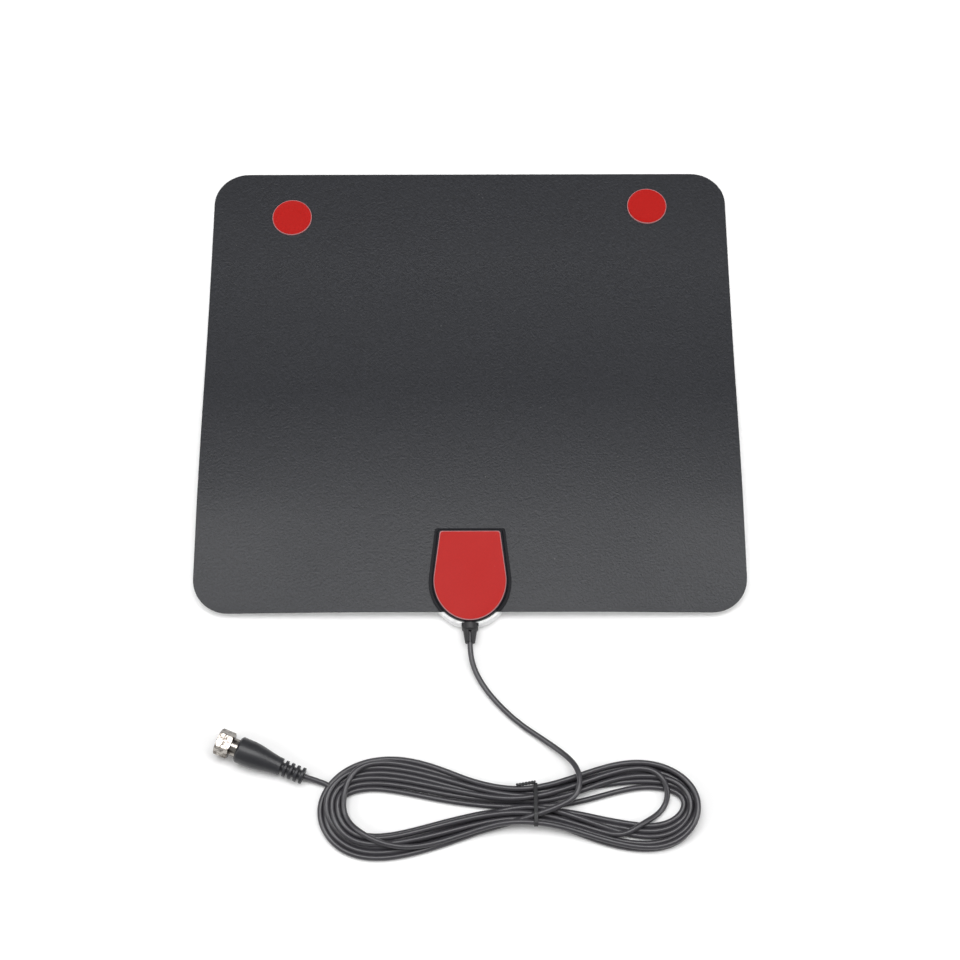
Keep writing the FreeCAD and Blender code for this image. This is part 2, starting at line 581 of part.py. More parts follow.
def make_plug():
    face, nose, boot_length = plug_frame()

    def turned(points):
        return revolve(points, face, nose)

    keeper_start = NUT_BACK + NUT_FLANGE + 0.1
    keeper_end = keeper_start + KEEPER_LENGTH
    solids["connector_body"] = turned([
        (-SHANK_LENGTH, INSULATOR), (-SHANK_LENGTH, SHANK_RADIUS), (0, SHANK_RADIUS), (0, COLLAR_RADIUS),
        (COLLAR_LENGTH, COLLAR_RADIUS), (COLLAR_LENGTH, NECK_RADIUS), (keeper_start, NECK_RADIUS),
        (keeper_start, KEEPER_RADIUS), (keeper_end, KEEPER_RADIUS), (keeper_end, INSULATOR),
    ])
    solids["dielectric"] = turned([
        (-SHANK_LENGTH, PIN_RADIUS), (-SHANK_LENGTH, INSULATOR), (keeper_end, INSULATOR),
        (keeper_end, PIN_RADIUS),
    ])
    pin_tip = NUT_FRONT + PIN_PROUD
    solids["centre_pin"] = turned([
        (-SHANK_LENGTH, 0), (-SHANK_LENGTH, PIN_RADIUS), (pin_tip - 0.4, PIN_RADIUS), (pin_tip, 0.2),
        (pin_tip, 0),
    ])

    # the nut: a hexagon with chamfered ends, threaded bore and an inner flange at its back
    circum = NUT_ACROSS_FLATS / math.sqrt(3)
    turns = [math.radians(60 * k + NUT_TURN) for k in range(7)]
    corners = [V(0, circum * math.cos(turn), circum * math.sin(turn)) for turn in turns]
    hexagon = Part.Face(Part.Wire(Part.makePolygon(corners)))
    hexagon.translate(V(NUT_BACK, 0, 0))
    bar = hexagon.extrude(V(NUT_FRONT - NUT_BACK, 0, 0))
    bar.Placement = FreeCAD.Placement(face, FreeCAD.Rotation(V(1, 0, 0), nose))
    inner_r = NUT_ACROSS_FLATS / 2
    chamfer = turned([
        (NUT_BACK, 0), (NUT_BACK, inner_r), (NUT_BACK + NUT_CHAMFER, circum + 0.1),
        (NUT_FRONT - NUT_CHAMFER, circum + 0.1), (NUT_FRONT, inner_r), (NUT_FRONT, 0),
    ])
    bore = turned([
        (NUT_BACK - 1, 0), (NUT_BACK - 1, NECK_RADIUS + RUNNING_GAP),
        (NUT_BACK + NUT_FLANGE, NECK_RADIUS + RUNNING_GAP), (NUT_BACK + NUT_FLANGE, THREAD_RADIUS),
        (NUT_FRONT - 0.5, THREAD_RADIUS), (NUT_FRONT + 0.1, THREAD_RADIUS + 0.6),
        (NUT_FRONT + 1, THREAD_RADIUS + 0.6), (NUT_FRONT + 1, 0),
    ])
    solids["coupling_nut"] = bar.common(chamfer).cut(bore)

    # the boot: chamfered front, full barrel, taper, then ribs on a slim core
    profile = [(-SHANK_LENGTH, 0), (-SHANK_LENGTH, SHANK_RADIUS), (0, SHANK_RADIUS),
               (0, BOOT_RADIUS - BOOT_CHAMFER), (-BOOT_CHAMFER, BOOT_RADIUS), (-BARREL, BOOT_RADIUS)]
    taper_steps = 6
    for k in range(1, taper_steps + 1):
        t = k / taper_steps
        ease = t * t * (3 - 2 * t)
        taper_r = BOOT_RADIUS - ease * (BOOT_RADIUS - BOOT_WAIST)
        profile.append((-BARREL - t * (BOOT_TAPER - BARREL), taper_r))
    profile.append((-BOOT_TAPER, RIB_CORE))
    for k in range(RIB_COUNT):
        front = -BOOT_TAPER - k * RIB_PITCH - (RIB_PITCH - RIB_THICK)
        profile += [(front, RIB_CORE), (front, RIB_RADIUS), (front - RIB_THICK, RIB_RADIUS),
                    (front - RIB_THICK, RIB_CORE)]
    profile.pop()
    profile += [(-boot_length, cable_r), (-SHANK_LENGTH - 2, cable_r), (-SHANK_LENGTH - 2, 0)]
    solids["plug_boot"] = turned(profile)
    solids["plug_cable_end"] = turned([
        (-boot_length, 0), (-boot_length, cable_r), (-SHANK_LENGTH - 2, cable_r), (-SHANK_LENGTH - 2, 0),
    ])
    return face.sub(V(nose).multiply(boot_length)), nose


def tail_points(end, nose):
    """From the boot's end to the hank's outer turn."""
    onward = V(nose).multiply(-1)
    ahead = end.add(V(onward).multiply(TAIL_START))
    return [end, ahead, place(*TAIL_END)]


def main():
    make_sheet()
    make_pads()
    make_covers()
    make_board()
    make_cable_entry()
    make_solder()
    lead = cord_tube("cord_lead", lead_points())
    make_hank()
    end, nose = make_plug()
    tail = cord_tube("cord_tail", tail_points(end, nose))
    print("lead %.1f tail %.1f" % (lead, tail))
    os.makedirs("parts", exist_ok=True)
    for name, shape in solids.items():
        print(name, "valid", shape.isValid(), "solids", len(shape.Solids), "volume %.2f" % shape.Volume)
        shape.exportStep("parts/" + name + ".step")


main()
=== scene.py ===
import json
import math

import bpy
import numpy as np
from bpy.props import FloatProperty, FloatVectorProperty, IntProperty, PointerProperty
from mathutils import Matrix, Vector


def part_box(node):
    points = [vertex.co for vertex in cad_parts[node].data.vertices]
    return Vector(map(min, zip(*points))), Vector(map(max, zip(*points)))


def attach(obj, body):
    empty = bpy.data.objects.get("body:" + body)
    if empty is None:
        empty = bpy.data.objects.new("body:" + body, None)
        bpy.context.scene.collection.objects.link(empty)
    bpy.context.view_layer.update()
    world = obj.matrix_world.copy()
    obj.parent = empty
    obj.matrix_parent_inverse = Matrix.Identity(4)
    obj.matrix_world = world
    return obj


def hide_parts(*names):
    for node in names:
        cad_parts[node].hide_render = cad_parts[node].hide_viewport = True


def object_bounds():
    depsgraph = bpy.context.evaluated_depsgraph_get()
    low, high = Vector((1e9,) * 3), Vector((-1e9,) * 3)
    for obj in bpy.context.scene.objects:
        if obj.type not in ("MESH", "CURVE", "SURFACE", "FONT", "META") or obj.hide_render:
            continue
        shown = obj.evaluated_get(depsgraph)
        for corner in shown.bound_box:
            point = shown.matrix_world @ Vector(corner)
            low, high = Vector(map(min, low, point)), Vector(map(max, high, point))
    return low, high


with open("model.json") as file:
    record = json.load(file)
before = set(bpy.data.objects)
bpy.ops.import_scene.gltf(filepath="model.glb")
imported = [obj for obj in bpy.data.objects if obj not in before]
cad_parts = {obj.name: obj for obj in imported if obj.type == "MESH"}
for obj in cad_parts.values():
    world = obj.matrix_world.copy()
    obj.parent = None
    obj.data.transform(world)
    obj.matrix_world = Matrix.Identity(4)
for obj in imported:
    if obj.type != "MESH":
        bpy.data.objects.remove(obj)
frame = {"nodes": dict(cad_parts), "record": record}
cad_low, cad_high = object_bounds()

bl_info = {
    "name": "Flat Leaf Antenna",
    "version": (1, 0, 0),
    "blender": (4, 5, 0),
    "location": "3D View > Sidebar > Antenna",
    "description": "Builds the looks of a flat indoor television antenna with its hank of cable",
    "category": "Object",
}

MM = 0.001
BODY = "antenna"
NEAR_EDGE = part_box("back_film")[0].y

# sizes in millimetres; places are measured from the middle of the sheet's near edge
SHEET_WIDTH, SHEET_LENGTH = 265.8, 242.0
SHEET_LIFT, LEVEL_END, REST_START = 6.0, 46.0, 190.0
LAYERS = (("white film", "front_film", "white_film", 0.0, 0.25),
          ("adhesive layer", "bond_layer", "clear_bond", 0.25, 0.15),
          ("black film", "back_film", "black_film", 0.40, 0.25))
DROOP_FROM, DROOP_ACROSS, DROOP_ALONG = 50, 82, 64
LINER = 0.12
CURL_POWER, CURL_LEVEL, CURL_WAVE, CURL_RIPPLE = 9, 0.45, 0.35, 0.2
DISC_RADIUS, DISC_HEIGHT = 9.85, 1.45
DISCS = (("left", -92.2, 216.2, 0.6), ("right", 92.1, 222.5, 3.9))
SHIELD = (17.0, 28.2, -4.5, 39.55, 0.85)
SHIELD_CENTRE, SHIELD_HEIGHT, SHIELD_PHASE = 15.0, 9.85, 2.2
TIE_X, TIE_NEAREST = 30.1, 75
TIE_SIDE_ROUND, TIE_FACE_ROUND = 0.4, 0.6
TWIST_TURNS, TWIST_APART, TWIST_CLOSES, TWIST_STRAND = 3.2, 0.42, 0.3, 0.5
TWIST_OUT, TWIST_IN, TWIST_UP, TWIST_CLIMB = 0.7, 1.5, 0.9, 0.3
PLUG_FACE, PLUG_NOSE = (-107.7, -66.0, 6.35), (-0.92427, 0.37454, 0.07372)
SHANK, BOOT_RADIUS, BARREL, BOOT_TAPER, BOOT_WAIST = 3.3, 6.2, 6.0, 22.0, 4.1
RIB_RADIUS, RIB_CORE, RIB_COUNT, RIB_PITCH, RIB_THICK = 3.9, 2.4, 4, 2.8, 1.4
BOOT_CHAMFER, BOOT_SOFTNESS, BOOT_INSIDE, BOOT_GRIP = 0.9, 0.35, -2.0, 0.05
TABLE_GAP = 0.02

# the stage, in metres: lights are name, place, width, depth, power in watts, and all face the origin
SOFTBOXES = (("overhead softbox", (0.0, 0.05, 1.5), 1.6, 0.8, 20.0),
             ("left softbox", (-1.6, -0.6, 1.2), 0.8, 0.8, 9.0),
             ("right softbox", (1.6, -0.6, 1.2), 0.8, 0.8, 9.0))
FLOOR_HALF, FLOOR_GLOW_FROM, FLOOR_GLOW_TO, FLOOR_GLOW = 3.0, 0.7, 1.6, 0.8
SKY_LIGHT, SKY_SEEN = 0.2, 1.0
CAMERA_X, CAMERA_BACK, CAMERA_HEIGHT = 0.004, 0.2796, 0.8877
CAMERA_TILT, CAMERA_TURN, CAMERA_SENSOR = 21.5, -0.15, 36.0


# ---------------------------------------------------------------- sizes and colours

class AntennaSheetSettings(bpy.types.PropertyGroup):
    corner: FloatProperty(
        name="Corner radius", description="Radius of the sheet's four corners",
        default=17.5 * MM, min=1 * MM, subtype="DISTANCE", unit="LENGTH")
    droop: FloatProperty(
        name="Corner droop", description="How far the free corners beside the box hang below the box",
        default=1.9 * MM, min=0.0, subtype="DISTANCE", unit="LENGTH")
    black: FloatVectorProperty(
        name="Black side", description="Colour of the matte black film",
        default=(0.0135, 0.0145, 0.0185), size=3, subtype="COLOR")
    white: FloatVectorProperty(
        name="White side", description="Colour of the glossy white film and of the front cover",
        default=(0.93, 0.93, 0.94), size=3, subtype="COLOR")


class AntennaLinerSettings(bpy.types.PropertyGroup):
    lift: FloatProperty(
        name="Edge lift", description="How far a liner's cut edge curls up from its tape",
        default=0.16 * MM, min=0.0, subtype="DISTANCE", unit="LENGTH")
    red: FloatVectorProperty(
        name="Liner red", description="Colour of the peel-off liners",
        default=(0.43, 0.006, 0.004), size=3, subtype="COLOR")
    tape: FloatVectorProperty(
        name="Tape", description="Colour of the foam tape under the liners",
        default=(0.44, 0.19, 0.20), size=3, subtype="COLOR")


class AntennaCordSettings(bpy.types.PropertyGroup):
    diameter: FloatProperty(
        name="Cable diameter", description="Outer diameter of the coaxial cable",
        default=2.6 * MM, min=1 * MM, subtype="DISTANCE", unit="LENGTH")
    turns: IntProperty(
        name="Turns", description="Whole turns that the hank holds before its last part turn",
        default=7, min=2, max=12)
    settling: IntProperty(
        name="Settling rounds", description="Rounds in which the turns sink and push one another aside",
        default=260, min=20, max=600)
    jacket: FloatVectorProperty(
        name="Jacket", description="Colour of the cable's jacket",
        default=(0.045, 0.043, 0.049), size=3, subtype="COLOR")


class AntennaTieSettings(bpy.types.PropertyGroup):
    width: FloatProperty(
        name="Tie width", description="Width of the flat tie round the hank's waist",
        default=1.9 * MM, min=0.5 * MM, subtype="DISTANCE", unit="LENGTH")
    thick: FloatProperty(
        name="Tie thickness", description="Thickness of the tie", default=0.55 * MM,
        min=0.1 * MM, subtype="DISTANCE", unit="LENGTH")
    tail: FloatProperty(
        name="Twisted ends", description="Length of the twisted ends", default=9.0 * MM,
        min=1 * MM, subtype="DISTANCE", unit="LENGTH")


class AntennaPlugSettings(bpy.types.PropertyGroup):
    boot: FloatVectorProperty(
        name="Boot", description="Colour of the plug's moulded boot",
        default=(0.024, 0.0245, 0.028), size=3, subtype="COLOR")
    nickel: FloatVectorProperty(
        name="Nickel", description="Colour of the plated connector",
        default=(0.56, 0.53, 0.49), size=3, subtype="COLOR")


class AntennaStageSettings(bpy.types.PropertyGroup):
    floor: FloatVectorProperty(
        name="Floor", description="Colour of the pale floor",
        default=(0.97, 0.97, 0.97), size=3, subtype="COLOR")
    lens: FloatProperty(
        name="Lens", description="Focal length of the camera", default=72.7 * MM,
        min=10 * MM, subtype="DISTANCE_CAMERA", unit="CAMERA")


# ---------------------------------------------------------------- meshes

def grid_mesh(name, points, close_u=False, close_v=False):
    """A mesh of quads over a grid of points (rows, columns, 3), closed round either way if asked."""
    rows, columns = points.shape[:2]
    i = np.arange(rows if close_u else rows - 1)
    j = np.arange(columns if close_v else columns - 1)
    a, b = (k.ravel() for k in np.meshgrid(i, j, indexing="ij"))
    a2, b2 = (a + 1) % rows, (b + 1) % columns
    quads = np.stack([a * columns + b, a * columns + b2, a2 * columns + b2, a2 * columns + b], 1)
    return quads_mesh(name, points.reshape(-1, 3), quads)


def quads_mesh(name, points, quads):
    """A smooth-shaded mesh from arrays of points and quads."""
    mesh = bpy.data.meshes.new(name)
    mesh.vertices.add(len(points))
    mesh.vertices.foreach_set("co", np.asarray(points, np.float32).ravel())
    mesh.loops.add(quads.size)
    mesh.loops.foreach_set("vertex_index", quads.astype(np.int32).ravel())
    mesh.polygons.add(len(quads))
    mesh.polygons.foreach_set("loop_start", np.arange(0, quads.size, 4, dtype=np.int32))
    mesh.update(calc_edges=True)
    mesh.validate()
    mesh.shade_smooth()
    return mesh


def closed_mesh(name, points, close_u=False, close_v=True):
    """A grid mesh that encloses a volume, turned so that its faces point outwards."""
    shifted = points - points.reshape(-1, 3).mean(0)
    along = np.roll(shifted, -1, 0) - shifted
    across = np.roll(shifted, -1, 1) - shifted
    if not close_u:
        shifted, along, across = shifted[:-1], along[:-1], across[:-1]
    volume = (shifted * np.cross(across, along)).sum()
    return grid_mesh(name, points[:, ::-1] if volume < 0 else points, close_u, close_v)


def piece(name, data, body, slot_name, replaces=(), thickness=0.0):
    """Put a mesh or curve in the scene as a finished piece of the antenna."""
    made = bpy.data.objects.new(name.replace(" ", "_"), data)
    bpy.context.scene.collection.objects.link(made)
    data.materials.append(finish_of(slot_name))
    if thickness:
        thick = made.modifiers.new("thickness", "SOLIDIFY")
        thick.thickness, thick.offset = thickness, 1.0
    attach(made, body)
    if replaces:
        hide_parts(*replaces)
    return made


def ease(t):
    """A smooth step from 0 to 1."""
    t = np.clip(t, 0.0, 1.0)
    return t * t * (3 - 2 * t)


def to_frame(x, y, z):
    """Millimetres from the middle of the sheet's near edge, as points in the scene."""
    x, y, z = np.broadcast_arrays(x, y, z)
    return np.stack([x * MM, y * MM + NEAR_EDGE, z * MM], -1)


# ---------------------------------------------------------------- the sheet

def sheet_rise(y):
    """Height of the sheet's underside: level by the box, two equal arcs, then level on the table."""
    half = (REST_START - LEVEL_END) / 2
    radius = (half ** 2 + (SHEET_LIFT / 2) ** 2) / SHEET_LIFT
    down, up = np.clip(y - LEVEL_END, 0, half), np.clip(REST_START - y, 0, half)
    falling = SHEET_LIFT - radius + np.sqrt(radius ** 2 - down ** 2)
    landing = radius - np.sqrt(radius ** 2 - up ** 2)
    return np.where(y < LEVEL_END + half, falling, landing)


def sheet_layer(corner, droop, height):
    """One layer of the sheet over (across, along): rows run to the half width, less the corner's
    inset r - sqrt(r^2 - (r - d)^2) at a distance d from an end; the height follows the table curve,
    and eases down by the droop towards the two near corners."""
    quarter = corner * (1 - np.cos(np.linspace(0, np.pi / 2, 14)))
    y = np.concatenate([quarter, np.linspace(corner, SHEET_LENGTH - corner, 100)[1:-1],
                        SHEET_LENGTH - quarter[::-1]])[:, None]
    short = np.clip(corner - np.minimum(y, SHEET_LENGTH - y), 0, corner)
    half_width = SHEET_WIDTH / 2 - corner + np.sqrt(corner ** 2 - short ** 2)
    x = np.sin(np.linspace(-np.pi / 2, np.pi / 2, 101))[None, :] * half_width
    sag = (droop * ease((np.abs(x) - DROOP_FROM) / DROOP_ACROSS)
           * ease((DROOP_ALONG - y) / DROOP_ALONG))
    return to_frame(x, y, sheet_rise(y) + height - sag)


# ---------------------------------------------------------------- the liners

def fill_outline(outline, count=49):
    """Points over an outline, and how far out each lies: a square grid pressed into a disc by
    x = u sqrt(1 - v^2 / 2), y = v sqrt(1 - u^2 / 2), whose radii then stretch to the outline."""
    line = np.sin(np.linspace(-np.pi / 2, np.pi / 2, count))
    u, v = np.meshgrid(line, line)
    x, y = u * np.sqrt(1 - v ** 2 / 2), v * np.sqrt(1 - u ** 2 / 2)
    middle = (outline.max(0) + outline.min(0)) / 2
    reach = outline - middle
    angle = np.arctan2(reach[:, 1], reach[:, 0])
    turn = np.arctan2(y, x)
    far = np.hypot(x, y)
    edge = [np.interp(turn, *zip(*sorted(zip(angle, reach[:, k]))), period=2 * np.pi) for k in (0, 1)]
    return middle[0] + far * edge[0], middle[1] + far * edge[1], far, turn


def liner_sheet(outline, height, lift, phase):
    """A liner over its outline: flat, but for its last part, which lifts by a share of the edge
    lift that changes slowly round the outline."""
    x, y, far, turn = fill_outline(outline)
    around = (CURL_LEVEL + CURL_WAVE * np.sin(turn + phase)
              + CURL_RIPPLE * np.sin(3 * turn + 2 * phase))
    return to_frame(x, y, height + lift * far ** CURL_POWER * around)


def circle_outline(x, y, radius):
    """Points round a circle."""
    turn = np.linspace(0, 2 * np.pi, 180, endpoint=False)
    return np.stack([x + radius * np.cos(turn), y + radius * np.sin(turn)], 1)


def shield_outline(half, far_width, near, far, corner):
    """Half an ellipse at the near end, whose sides run straight to a far edge with round corners."""
    depth = SHIELD_CENTRE - near
    squeeze = half / depth
    corner_x, corner_y = far_width / 2, (far - SHIELD_CENTRE) * squeeze
    turn = math.atan2(corner_y, corner_x) - math.acos(half / math.hypot(corner_x, corner_y))
    touch = SHIELD_CENTRE + depth * math.sin(turn)
    y = far - (far - near) * (1 - np.cos(np.linspace(0, np.pi, 160))) / 2
    round_end = half * np.sqrt(np.clip(1 - ((y - SHIELD_CENTRE) / depth) ** 2, 0, 1))
    straight = corner_x + (far - y) * (half * math.cos(turn) - corner_x) / (far - touch)
    short = np.clip(corner - (far - y), 0, corner)
    x = np.where(y > touch, straight, round_end) - corner + np.sqrt(corner ** 2 - short ** 2)
    top = np.linspace(-x[0], x[0], 40)[1:-1]
    return np.vstack([np.stack([x, y], 1), np.stack([-x[::-1], y[::-1]], 1)[1:],
                      np.stack([top, np.full_like(top, far)], 1)])


# ---------------------------------------------------------------- tie and plug

def band_round(spots, place, width, thick, radius):
    """A flat band drawn tight round the cable where it passes a place along X: in each direction it
    reaches as far as the furthest cable does, h, and its line is h times the direction plus the
    rate of change of h times the direction square to it. Its section is a rounded rectangle. The
    lead, which passes nearer to the box, is left out."""
    inside = spots[np.abs(spots[:, 0] - place) < width][:, 1:]
    inside = inside[inside[:, 0] < NEAR_EDGE - TIE_NEAREST * MM]
    turn = np.linspace(0, 2 * np.pi, 144, endpoint=False)
    outward = np.stack([np.cos(turn), np.sin(turn)], 1)
    reach = (inside @ outward.T).max(0) + radius
    reach = (np.roll(reach, 1) + 2 * reach + np.roll(reach, -1)) / 4
    rate = (np.roll(reach, -1) - np.roll(reach, 1)) / (2 * (turn[1] - turn[0]))
    loop = reach[:, None] * outward + rate[:, None] * outward[:, ::-1] * (-1, 1)
    section = np.linspace(0, 2 * np.pi, 16, endpoint=False)
    wide = width / 2 * np.sign(np.cos(section)) * np.abs(np.cos(section)) ** TIE_SIDE_ROUND
    out = thick / 2 * (1 + np.sign(np.sin(section)) * np.abs(np.sin(section)) ** TIE_FACE_ROUND)
    ring = loop[:, None] + outward[:, None] * out[None, :, None]
    along = np.broadcast_to(place + wide[None, :, None], ring.shape[:2] + (1,))
    points = np.concatenate([along, ring], 2)
    points[..., 2] = np.maximum(points[..., 2], cad_low.z + TABLE_GAP * MM)
    return points, loop


def tube(path, radius, sides=12):
    """A round strand along a path, its radius falling to nothing over each rounded end."""
    ahead = np.gradient(path, axis=0)
    ahead /= np.linalg.norm(ahead, axis=1)[:, None]
    side = np.cross(ahead, (0.0, 0.0, 1.0))
    side /= np.linalg.norm(side, axis=1)[:, None]
    over = np.cross(side, ahead)
    run = np.concatenate([[0.0], np.cumsum(np.linalg.norm(np.diff(path, axis=0), axis=1))])
    short = np.clip(1 - np.minimum(run, run[-1] - run) / radius, 0, 1)
    girth = (radius * np.sqrt(np.clip(1 - short ** 2, 1e-4, 1)))[:, None, None]
    turn = np.linspace(0, 2 * np.pi, sides, endpoint=False)[None, :, None]
    return path[:, None] + girth * (np.cos(turn) * side[:, None] + np.sin(turn) * over[:, None])


def soften(profile, radius, steps=4):
    """A closed profile with every corner cut back and bent round in a quadratic curve."""
    profile = np.asarray(profile, float)
    before, after = np.roll(profile, 1, 0) - profile, np.roll(profile, -1, 0) - profile
    legs = []
    for leg in (before, after):
        length = np.linalg.norm(leg, axis=1)[:, None]
        legs.append(leg / length * np.minimum(radius, 0.45 * length))
    t = np.linspace(0, 1, steps)[None, :, None]
    curve = ((1 - t) ** 2 * (profile + legs[0])[:, None] + 2 * t * (1 - t) * profile[:, None]
             + t ** 2 * (profile + legs[1])[:, None])
    return curve.reshape(-1, 2)


def boot_profile(cable):
    """The boot's section (along, radius): chamfered front, barrel, eased taper, ribs on a slim core,
    and back inside along the cable."""
    t = np.linspace(0, 1, 14)[1:]
    taper = np.stack([-BARREL - t * (BOOT_TAPER - BARREL),
                      BOOT_RADIUS - ease(t) * (BOOT_RADIUS - BOOT_WAIST)], 1)
    profile = [(BOOT_INSIDE, SHANK), (0.0, SHANK), (0.0, BOOT_RADIUS - BOOT_CHAMFER),
               (-BOOT_CHAMFER, BOOT_RADIUS), (-BARREL, BOOT_RADIUS), *taper, (-BOOT_TAPER, RIB_CORE)]
    for k in range(RIB_COUNT):
        front = -BOOT_TAPER - k * RIB_PITCH - (RIB_PITCH - RIB_THICK)
        profile += [(front, RIB_CORE), (front, RIB_RADIUS), (front - RIB_THICK, RIB_RADIUS)]
        if k < RIB_COUNT - 1:
            profile += [(front - RIB_THICK, RIB_CORE)]
    end = -BOOT_TAPER - RIB_COUNT * RIB_PITCH
    return soften(profile + [(end, cable), (BOOT_INSIDE, cable)], BOOT_SOFTNESS)


def turned(profile, face, nose, sides=96):
    """A profile (along, radius) swept once round an axis."""
    nose = np.array(nose) / np.linalg.norm(nose)
    side = np.cross(nose, (0.0, 0.0, 1.0))
    side /= np.linalg.norm(side)
    over = np.cross(side, nose)
    turn = np.linspace(0, 2 * np.pi, sides, endpoint=False)[None, :, None]
    along, radius = profile[:, None, :1], profile[:, None, 1:]
    points = np.array(face) + along * nose + radius * (np.cos(turn) * side + np.sin(turn) * over)
    return to_frame(points[..., 0], points[..., 1], points[..., 2])


# ---------------------------------------------------------------- shader building

# a Mix node's sockets when it mixes colours
MIX_FACTOR, MIX_A, MIX_B, MIX_RESULT = 0, 6, 7, 2
# dust specks are pale grey; the plug's dark brown is painted reflection: on the nickel it darkens noise
# patches and faces turned away from the viewer, in place of reflections of dark surroundings
DUST, PLUG_PAINTED_DARK_REFLECTION = (0.45, 0.44, 0.42), (0.05, 0.038, 0.03)


def add(tree, kind, sockets=None, **settings):
    """Add a node; values in sockets are set, and sockets given there are linked."""
    made = tree.nodes.new(kind)
    for key, value in settings.items():
        setattr(made, key, value)
    for key, value in (sockets or {}).items():
        if isinstance(value, bpy.types.NodeSocket):
            tree.links.new(value, made.inputs[key])
        else:
            made.inputs[key].default_value = value
    return made


def rgba(colour):
    """A colour with full opacity."""
    return (*colour, 1.0)


def math_node(tree, operation, a, b=0.0):
    """The result of one sum on two values or sockets."""
    return add(tree, "ShaderNodeMath", {0: a, 1: b}, operation=operation).outputs[0]


def ramp(tree, value, low, high, to_low=0.0, to_high=1.0):
    """Value mapped in a straight line from one range to another, and held at its ends."""
    made = add(tree, "ShaderNodeMapRange", {"Value": value, "From Min": low, "From Max": high,
                                            "To Min": to_low, "To Max": to_high})
    return made.outputs["Result"]


def mix_colour(tree, factor, a, b):
    """One colour blended into another; each may be a socket."""
    made = add(tree, "ShaderNodeMix", data_type="RGBA", blend_type="MIX")
    for key, value in ((MIX_FACTOR, factor), (MIX_A, a), (MIX_B, b)):
        if isinstance(value, bpy.types.NodeSocket):
            tree.links.new(value, made.inputs[key])
        elif key == MIX_FACTOR:
            made.inputs[key].default_value = value
        else:
            made.inputs[key].default_value = rgba(value)
    return made.outputs[MIX_RESULT]


def new_group(name, inputs, outputs):
    """An empty shader group with named sockets; returns it with its input and output nodes."""
    group = bpy.data.node_groups.new(name, "ShaderNodeTree")
    for label, kind, default in inputs:
        socket = group.interface.new_socket(label, in_out="INPUT", socket_type=kind)
        if default is not None:
            socket.default_value = default
    for label, kind in outputs:
        group.interface.new_socket(label, in_out="OUTPUT", socket_type=kind)
    return group, add(group, "NodeGroupInput"), add(group, "NodeGroupOutput")


def surface_grain_group():
    """Moulded or rolled grain: fine cells over a softer noise, as a height and a shade."""
    group, given, result = new_group(
        "Surface Grain",
        [("Vector", "NodeSocketVector", None), ("Grain Scale", "NodeSocketFloat", 1500.0),
         ("Cells", "NodeSocketFloat", 0.5)],
        [("Height", "NodeSocketFloat"), ("Shade", "NodeSocketFloat")])
    where, scale = given.outputs["Vector"], given.outputs["Grain Scale"]
    cells = add(group, "ShaderNodeTexVoronoi", {"Vector": where, "Scale": scale}, feature="SMOOTH_F1")
    coarser = math_node(group, "MULTIPLY", scale, 0.7)
    fine = add(group, "ShaderNodeTexNoise", {"Vector": where, "Scale": coarser,
                                             "Detail": 3.0, "Roughness": 0.6})
    share = math_node(group, "MULTIPLY", cells.outputs["Distance"], given.outputs["Cells"])
    height = math_node(group, "ADD", share, fine.outputs[0])
    group.links.new(height, result.inputs["Height"])
    group.links.new(ramp(group, height, 0.3, 1.0), result.inputs["Shade"])
    return group


def handling_group():
    """What handling leaves: broad soft smears, and sparse specks of dust and lint."""
    group, given, result = new_group(
        "Handling Marks",
        [("Vector", "NodeSocketVector", None), ("Smear Scale", "NodeSocketFloat", 18.0),
         ("Dust Amount", "NodeSocketFloat", 0.5)],
        [("Smear", "NodeSocketFloat"), ("Dust", "NodeSocketFloat")])
    where = given.outputs["Vector"]
    broad = add(group, "ShaderNodeTexNoise", {"Vector": where, "Scale": given.outputs["Smear Scale"],
                                              "Detail": 4.0, "Roughness": 0.55, "Distortion": 0.6})
    specks = add(group, "ShaderNodeTexVoronoi", {"Vector": where, "Scale": 260.0}, feature="F1")
    chosen = add(group, "ShaderNodeTexNoise", {"Vector": where, "Scale": 70.0, "Detail": 1.0})
    spot = ramp(group, specks.outputs["Distance"], 0.05, 0.11, 1.0, 0.0)
    sparse = ramp(group, chosen.outputs[0], 0.60, 0.70)
    lone = math_node(group, "MULTIPLY", spot, sparse)
    dust = math_node(group, "MULTIPLY", lone, given.outputs["Dust Amount"])
    group.links.new(ramp(group, broad.outputs[0], 0.35, 0.70), result.inputs["Smear"])
    group.links.new(dust, result.inputs["Dust"])
    return group


def group_node(tree, group, **sockets):
    """A node that uses a shader group; an underscore in a key stands for a space."""
    made = add(tree, "ShaderNodeGroup", node_tree=group)
    for key, value in sockets.items():
        socket = made.inputs[key.replace("_", " ")]
        if isinstance(value, bpy.types.NodeSocket):
            tree.links.new(value, socket)
        else:
            socket.default_value = value
    return made


def new_material(name):
    """A material with a Principled shader; returns it, its tree, the shader and Object coordinates."""
    material = bpy.data.materials.new(name)
    material.use_nodes = True
    tree = material.node_tree
    tree.nodes.clear()
    shader = add(tree, "ShaderNodeBsdfPrincipled")
    add(tree, "ShaderNodeOutputMaterial", {"Surface": shader.outputs[0]})
    where = add(tree, "ShaderNodeTexCoord").outputs["Object"]
    return material, tree, shader, where


def bump(tree, height, depth, normal=None):
    """A normal tilted by a height, which a real depth scales."""
    sockets = {"Height": height, "Strength": 1.0, "Distance": depth}
    if normal is not None:
        sockets["Normal"] = normal
    return add(tree, "ShaderNodeBump", sockets).outputs["Normal"]


def rounded(tree, radius):
    """A normal that rounds sharp edges over a small radius."""
    return add(tree, "ShaderNodeBevel", {"Radius": radius}, samples=4).outputs["Normal"]


